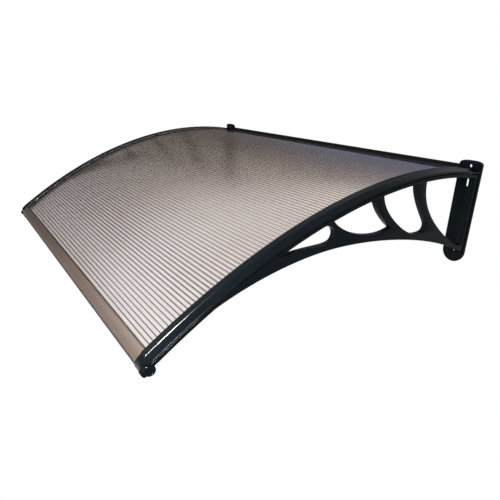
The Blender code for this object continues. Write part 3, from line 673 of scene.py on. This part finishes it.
def barred(outline, low, high, mitred):
    """An outline (y, z) extruded along x, its mitred ends leaning inward below the lip."""
    work = bmesh.new()
    work.faces.new([work.verts.new((low, y, z)) for y, z in outline])
    grown = bmesh.ops.extrude_face_region(work, geom=work.faces[:])
    moved = [g for g in grown["geom"] if isinstance(g, bmesh.types.BMVert)]
    bmesh.ops.translate(work, verts=moved, vec=(high - low, 0.0, 0.0))
    lip = ahead(0.0, RAIL_CLEAR + RAIL_WALL)[1]
    for vert in work.verts:
        if any(abs(vert.co.x - x) < GAP / 2 for x in mitred):
            vert.co.x += math.copysign(RAIL_MITRE, vert.co.x) * (vert.co.z - lip)
    return work


rail_outline = rounded(hood(RAIL_WALL, SHELF_TOP, RAIL_SHELF, 0.0), RAIL_EDGE, times=2)
solid("taupe_front_rail", barred(rail_outline, -RAIL_HALF, RAIL_HALF, (-RAIL_HALF, RAIL_HALF)),
      "taupe_aluminium", ["front_rail"], TAUPE)
refinish("front_glazing_gasket", RUBBER)

# The soft seal hangs below the rail's drip edge, and its thin front clips up over that edge
SEAL_DEPTH = 0.003
SEAL_TAPER = 0.0006
SEAL_SKIN = 0.0005
SEAL_CLIP = 0.004
seal_back = min(y for y, z in rail_outline) - GAP / 3
seal_front = seal_back - SEAL_SKIN
seal_top = min(z for y, z in rail_outline) - GAP
seal_low = seal_top - SEAL_DEPTH + GAP
seal_outline = [(seal_back, seal_top), (seal_back + RAIL_RETURN, seal_top),
                (seal_back + RAIL_RETURN - SEAL_TAPER, seal_low), (seal_front, seal_low),
                (seal_front, seal_top + SEAL_CLIP), (seal_back, seal_top + SEAL_CLIP)]
seal_outline = rounded(seal_outline, RAIL_EDGE, times=2)
solid("soft_drip_seal", barred(seal_outline, -RAIL_HALF, RAIL_HALF, (-RAIL_HALF, RAIL_HALF)),
      "black_rubber", ["drip_seal"], RUBBER)

# Rail caps. A black moulding on each end of the front rail: it carries on the rail's outline
# behind a mitred joint, ends in a wall, and plugs into the rail and into the bracket's end.
CAP_FOOT = 0.008
CAP_EDGE = 0.0008
CAP_OUT = END_IN - GAP
PLUG_RADIUS = 0.007
PLUG_AHEAD = 0.012
SPIGOT_RADIUS = 0.004
SPIGOT_LENGTH = 0.008


def rail_cap():
    """Cap with its skin, end wall, plug and spigot."""
    shelf_top = -SHEET_THICK - GAP
    back = RAIL_SHELF - GAP
    start = RAIL_HALF + GAP
    skin = rounded(hood(CAP_WALL, shelf_top, back, CAP_FOOT), RAIL_EDGE, times=2)
    wall = hood(CAP_WALL, shelf_top, back, CAP_FOOT, filled=True)
    root = CAP_OUT - CAP_WALL / 2
    plug_end = HALF_WIDTH - PLATE_WIDTH
    spigot_end = CAP_OUT + SPIGOT_LENGTH
    plug = [(plug_end, 0.0), (plug_end, PLUG_RADIUS), (root, PLUG_RADIUS), (root, 0.0)]
    spigot = [(root, 0.0), (root, SPIGOT_RADIUS), (spigot_end, SPIGOT_RADIUS), (spigot_end, 0.0)]
    seat = ahead(PLUG_AHEAD, SHELF_TOP - RAIL_WALL - GAP - PLUG_RADIUS)
    return gathered(
        barred(skin, start, root, (start,)),
        slab([rounded(wall, RAIL_EDGE, times=2)], CAP_OUT - CAP_WALL, CAP_OUT, ALONG_X, CAP_EDGE),
        turned(rounded(plug, CAP_EDGE, closed=False), seat, 32),
        turned(rounded(spigot, CAP_EDGE, closed=False), arch(END_S, END_N), 24))


pair("rail_cap_moulding", rail_cap, "black_plastic", ["rail_cap_{}"], PLASTIC)

# Cover strips. A black extrusion on each side edge of the sheet, with a crest and a skirt that
# laps the edge, and a domed front end. Its soft clear lip seals the inner edge on the sheet.
STRIP_WIDTH = 0.033
STRIP_UNDER = 0.0026
STRIP_TOP = 0.0060
STRIP_CREST = 0.0195
STRIP_SKIRT = 0.0095
STRIP_DROP = 0.0040
STRIP_ROUND = 0.0006
STRIP_LAP = 0.0203
STRIP_IN = HALF_WIDTH - STRIP_WIDTH
STRIP_MID = HALF_WIDTH - STRIP_WIDTH / 2
STRIP_FRONT = ARCH_RUN + STRIP_LAP - STRIP_WIDTH / 2
WALL_FACE = -PLATE_THICK - GAP

# The sections' corners, as steps out and up. The crests' steps start at the crest's own width
# and the strip's top, the hems' at its full width and its underside. The edges' steps start at
# full width and the strip's top, but for the outer one's, which start at the sheet's top.
OUTER_CREST = ((-0.0030, 0.0), (-0.0008, -0.0003), (0.0012, -0.0012))
OUTER_EDGE = ((-0.0020, 0.0004), (-0.0004, -0.0009), (0.0, -0.0022))
TIP_CREST = ((-0.0015, 0.0), (0.0, -0.0001), (0.0025, -0.0005))
TIP_EDGE = ((-0.0024, -0.0026), (-0.0007, -0.0033))
TIP_HEM = ((0.0, 0.0001), (0.0, -0.0008), (-0.0013, -0.0008), (-0.0013, 0.0))
INNER_FLAT = (0.3, 0.6, 0.8)
INNER_EDGE = ((-0.0014, 0.0), (-0.0005, -0.0004), (0.0, -0.0012))
INNER_HEM = ((0.0, 0.0006), (0.0, 0.0))


def strip_sides():
    """Half sections of the cover strip at its outer side, at its tip and at its inner side.

    Each runs from the top of the middle to the underside of the middle, as (reach, n).
    """
    reach = STRIP_WIDTH / 2
    crest = STRIP_CREST - reach
    skirt = reach - STRIP_SKIRT
    top, under = STRIP_TOP, STRIP_UNDER

    def stepped(steps, r, n):
        return [(r + out, n + up) for out, up in steps]

    outer = [(0.0, top), *stepped(OUTER_CREST, crest, top), *stepped(OUTER_EDGE, reach, 0.0),
             (reach, -STRIP_DROP), (skirt, -STRIP_DROP), (skirt, under), (0.0, under)]
    tip = [(0.0, top), *stepped(TIP_CREST, crest, top), *stepped(TIP_EDGE, reach, top),
           *stepped(TIP_HEM, reach, under), (0.0, under)]
    inner = [(0.0, top), *((share * reach, top) for share in INNER_FLAT),
             *stepped(INNER_EDGE, reach, top), *stepped(INNER_HEM, reach, under),
             (INNER_FLAT[1] * reach, under), (0.0, under)]
    return [rounded(side, STRIP_ROUND, closed=False) for side in (outer, tip, inner)]


def flush(work):
    """Cut the wall end of a bent piece flush with the wall plate, and close it."""
    cut = bmesh.ops.bisect_plane(work, geom=work.verts[:] + work.edges[:] + work.faces[:],
                                 plane_co=(0.0, WALL_FACE, 0.0), plane_no=(0.0, 1.0, 0.0),
                                 clear_outer=True)
    rim = [g for g in cut["geom_cut"] if isinstance(g, bmesh.types.BMEdge)]
    bmesh.ops.contextual_create(work, geom=rim)
    return work


def strip_nose(outer, tip, inner):
    """Domed front end: the outer half section spun to the inner side, blended as it turns."""
    work = bmesh.new()
    spot = work.verts.layers.int.new("spot")
    chain = [work.verts.new((STRIP_MID + r, -STRIP_FRONT, n)) for r, n in outer]
    for count, vert in enumerate(chain):
        vert[spot] = count
    edges = [work.edges.new(ends) for ends in zip(chain, chain[1:])]
    bmesh.ops.spin(work, geom=chain + edges, cent=(STRIP_MID, -STRIP_FRONT, 0.0),
                   axis=(0.0, 0.0, 1.0), angle=-math.pi, steps=36)
    for vert in work.verts:
        turn = math.atan2(max(-STRIP_FRONT - vert.co.y, 0.0), vert.co.x - STRIP_MID)
        past_tip = turn > math.pi / 2
        first, second = (tip, inner) if past_tip else (outer, tip)
        share = 2 * turn / math.pi - past_tip
        ease = share * share * (3 - 2 * share)
        (r0, n0), (r1, n1) = first[vert[spot]], second[vert[spot]]
        reach = r0 + (r1 - r0) * ease
        vert.co = (STRIP_MID + reach * math.cos(turn), -STRIP_FRONT - reach * math.sin(turn),
                   n0 + (n1 - n0) * ease)
    bend(work)
    return work


def cover_strip():
    """The strip's straight run and its domed end."""
    outer, tip, inner = strip_sides()
    ring = [(STRIP_MID + r, n) for r, n in outer]
    ring += [(STRIP_MID - r, n) for r, n in reversed(inner[1:-1])]
    return gathered(flush(swept(ring, 0.0, STRIP_FRONT)), strip_nose(outer, tip, inner))


pair("cover_strip_profile", cover_strip, "black_plastic", ["cover_strip_{}"], PLASTIC)

LIP_REACH = 0.0023
LIP_SEAT = 0.0025
LIP_SLANT = 0.4
LIP, lip_tree, lip = finish("clear_lip", IOR=1.45, Transmission_Weight=1.0)
lip_patches, lip_grain = grain(lip_tree, 20.0, 900.0)
put(lip_tree, lip,
    Base_Color=shade(lip_tree, lip_patches, (0.84, 0.84, 0.86), (0.92, 0.92, 0.94)),
    Roughness=between(lip_tree, lip_patches, 0.10, 0.20),
    Normal=relief(lip_tree, lip_grain, 0.00001))


def lip_gasket():
    """Soft lip under the inner edge of a cover strip, lying on the sheet."""
    top = STRIP_UNDER - GAP
    section = [(STRIP_IN - LIP_REACH, GAP), (STRIP_IN + LIP_SEAT, GAP), (STRIP_IN + LIP_SEAT, top),
               (STRIP_IN + GAP, top), (STRIP_IN - LIP_REACH + GAP, GAP + LIP_SLANT * top)]
    return flush(swept(rounded(section, GAP), 0.0, ARCH_RUN - GAP))


pair("soft_lip", lip_gasket, "clear_lip", ["strip_gasket_{}"], LIP)

# Clamp screws. Zinc-plated pan heads under the chord, five to a side, turned with a round drive
# recess and driven up through the chord and the sheet into the strip.
SCREWS = 5
SCREW_IN = 0.0065
SCREW_X = STRIP_IN + SCREW_IN
SCREW_RADIUS = 0.002
SCREW_BITE = 0.0016
SCREW_TIP = STRIP_UNDER + SCREW_BITE
HEAD_RADIUS = 0.004
HEAD_HEIGHT = 0.0026
HEAD_SEAT = CHORD_UNDER - GAP
HEAD_ROUND = 0.0004
HEAD_FACE = 0.70 * HEAD_RADIUS
HEAD_BRIM = 0.6 * HEAD_HEIGHT
DRIVE_DEPTH = 0.6 * HEAD_HEIGHT
DRIVE_RADIUS = 0.30 * HEAD_RADIUS
DRIVE_MOUTH = 0.34 * HEAD_RADIUS

STEEL, steel_tree, steel = finish("zinc_steel", Metallic=1.0)
steel_patches, steel_grain = grain(steel_tree, 60.0, 2000.0)
put(steel_tree, steel,
    Base_Color=shade(steel_tree, steel_patches, (0.55, 0.55, 0.53), (0.66, 0.66, 0.64)),
    Roughness=between(steel_tree, steel_grain, 0.28, 0.42))


def clamp_screws():
    """Five screws, each a turned head and shank that stands square to the sheet."""
    face = HEAD_SEAT - HEAD_HEIGHT
    well = face + DRIVE_DEPTH
    head = [(0.0, well), (DRIVE_RADIUS, well), (DRIVE_MOUTH, face), (HEAD_FACE, face),
            (HEAD_RADIUS, HEAD_SEAT - HEAD_BRIM), (HEAD_RADIUS, HEAD_SEAT)]
    shank = [(SCREW_RADIUS, HEAD_SEAT), (SCREW_RADIUS, SCREW_TIP - SCREW_RADIUS / 2),
             (SCREW_RADIUS / 2, SCREW_TIP), (0.0, SCREW_TIP)]
    made = []
    for k in range(SCREWS):
        cell = round((k + 0.5) / SCREWS * SHEET_CELLS - 0.5)
        s = SHEET_BACK + (cell + 0.5) * CELL
        work = bmesh.new()
        chain = [work.verts.new((r, 0.0, n))
                 for r, n in rounded(head, HEAD_ROUND, closed=False, times=2) + shank]
        edges = [work.edges.new(ends) for ends in zip(chain, chain[1:])]
        bmesh.ops.spin(work, geom=chain + edges, cent=(0, 0, 0), axis=(0, 0, 1),
                       angle=2 * math.pi, steps=28, use_merge=True)
        bmesh.ops.remove_doubles(work, verts=work.verts, dist=MERGE)
        y, z = arch(s)
        bmesh.ops.transform(work, verts=work.verts, matrix=Matrix.Translation((SCREW_X, y, z))
                            @ Matrix.Rotation(slope(s), 4, "X"))
        made.append(work)
    return gathered(*made)


pair("clamp_screws", clamp_screws, "zinc_steel",
     ["clamp_screw_{}_" + str(k) for k in range(1, SCREWS + 1)], STEEL)

# Studio. A plain white floor a door's height below, and a white surround that gloss and glass
# see as dusk toward the wall and low on the far side. One softbox lights the object from the
# street side, and two narrow ones are seen only in gloss, along the near cover strip.
FLOOR_Z = -2.4
FLOOR_HALF = 30.0
DARK_SIDE = (-0.55, 0.25, -0.80)
WALL_SIDE = (0.0, 1.0, 0.0)
DUSK = (0.12, 0.105, 0.098)
WALL_DUSK = (0.155, 0.165, 0.245)
NEAR_STRIP = (0.58, -0.85, -0.12)
BEAM = math.radians(24)
WHITE, white_tree, white = finish("studio_white", Roughness=0.9,
                                  Base_Color=(0.88, 0.88, 0.88, 1.0))


def seen_white(tree, kind, lit, output, mirrored=(1.0, 1.0, 1.0, 1.0)):
    """Show white to the eye, a mirrored colour in gloss and through glass, or the lit surface."""
    path = node(tree, "LightPath").outputs
    through = node(tree, "Math", {0: path["Is Glossy Ray"], 1: path["Is Transmission Ray"]},
                   operation="MAXIMUM").outputs[0]
    glow = node(tree, kind, {"Color": (1.0, 1.0, 1.0, 1.0), "Strength": 1.0}).outputs[0]
    gleam = node(tree, kind, {"Color": mirrored, "Strength": 1.0}).outputs[0]
    unseen = node(tree, "MixShader", {0: through, 1: lit, 2: gleam}).outputs[0]
    mixed = node(tree, "MixShader", {0: path["Is Camera Ray"], 1: unseen, 2: glow}).outputs[0]
    tree.links.new(mixed, output.inputs["Surface"])


seen_white(white_tree, "Emission", white.outputs[0], white_tree.nodes["Material Output"])
floor_work = bmesh.new()
bmesh.ops.create_grid(floor_work, x_segments=1, y_segments=1, size=FLOOR_HALF)
bmesh.ops.translate(floor_work, verts=floor_work.verts, vec=(0.0, 0.0, FLOOR_Z))
floor_mesh = bpy.data.meshes.new("floor")
floor_work.to_mesh(floor_mesh)
floor_work.free()
floor_mesh.materials.append(WHITE)
floor = bpy.data.objects.new("floor", floor_mesh)
bpy.context.scene.collection.objects.link(floor)

world = bpy.data.worlds.new("studio")
bpy.context.scene.world = world
world.use_nodes = True
studio = world.node_tree
ambient = studio.nodes["Background"]
ambient.inputs["Color"].default_value = (0.86, 0.92, 1.0, 1.0)
ambient.inputs["Strength"].default_value = 0.08
outlook = node(studio, "TexCoord").outputs["Generated"]


def facing(direction, low, high):
    """How far the surround's direction turns to one side, from 0 to 1."""
    toward = node(studio, "VectorMath", {0: outlook, 1: direction}, operation="DOT_PRODUCT")
    return node(studio, "MapRange", {
        "Value": toward.outputs["Value"], "From Min": low, "From Max": high},
        interpolation_type="SMOOTHSTEP").outputs[0]


dusk = blend(studio, facing(WALL_SIDE, 0.45, 0.78), DUSK, WALL_DUSK)
seen_white(studio, "Background", ambient.outputs[0], studio.nodes["World Output"],
           blend(studio, facing(DARK_SIDE, 0.05, 0.22), (1.0, 1.0, 1.0), dusk))


def softbox(name, place, aim, size, power, shines):
    """A square softbox that faces a point. One that shines is narrow and seen only in gloss."""
    lamp = bpy.data.lights.new(name, "AREA")
    lamp.shape = "SQUARE"
    lamp.size = size
    lamp.energy = power
    made = bpy.data.objects.new(name, lamp)
    made.location = place
    made.rotation_euler = (Vector(aim) - Vector(place)).to_track_quat("-Z", "Y").to_euler()
    made.visible_glossy = shines
    made.visible_diffuse = not shines
    made.visible_transmission = False
    if shines:
        lamp.spread = BEAM
    bpy.context.scene.collection.objects.link(made)


softbox("key", (1.1, -1.5, 0.4), (0.4, -0.8, -0.1), size=0.8, power=19.5, shines=False)
softbox("crest_light", (-0.71, -2.0, 1.68), NEAR_STRIP, size=0.5, power=15.0, shines=True)
softbox("rim_light", (1.95, -1.30, 0.55), NEAR_STRIP, size=0.5, power=5.0, shines=True)

camera_data = bpy.data.cameras.new("camera")
camera_data.lens = 32.11
camera_data.sensor_width = 36.0
camera_data.shift_y = 0.08
camera = bpy.data.objects.new("camera", camera_data)
camera.location = (1.205, -1.082, 0.210)
camera.rotation_euler = (math.radians(64.5), 0.0, math.radians(56.4))
bpy.context.scene.collection.objects.link(camera)
bpy.context.scene.camera = camera
bpy.context.scene.view_settings.view_transform = "Standard"
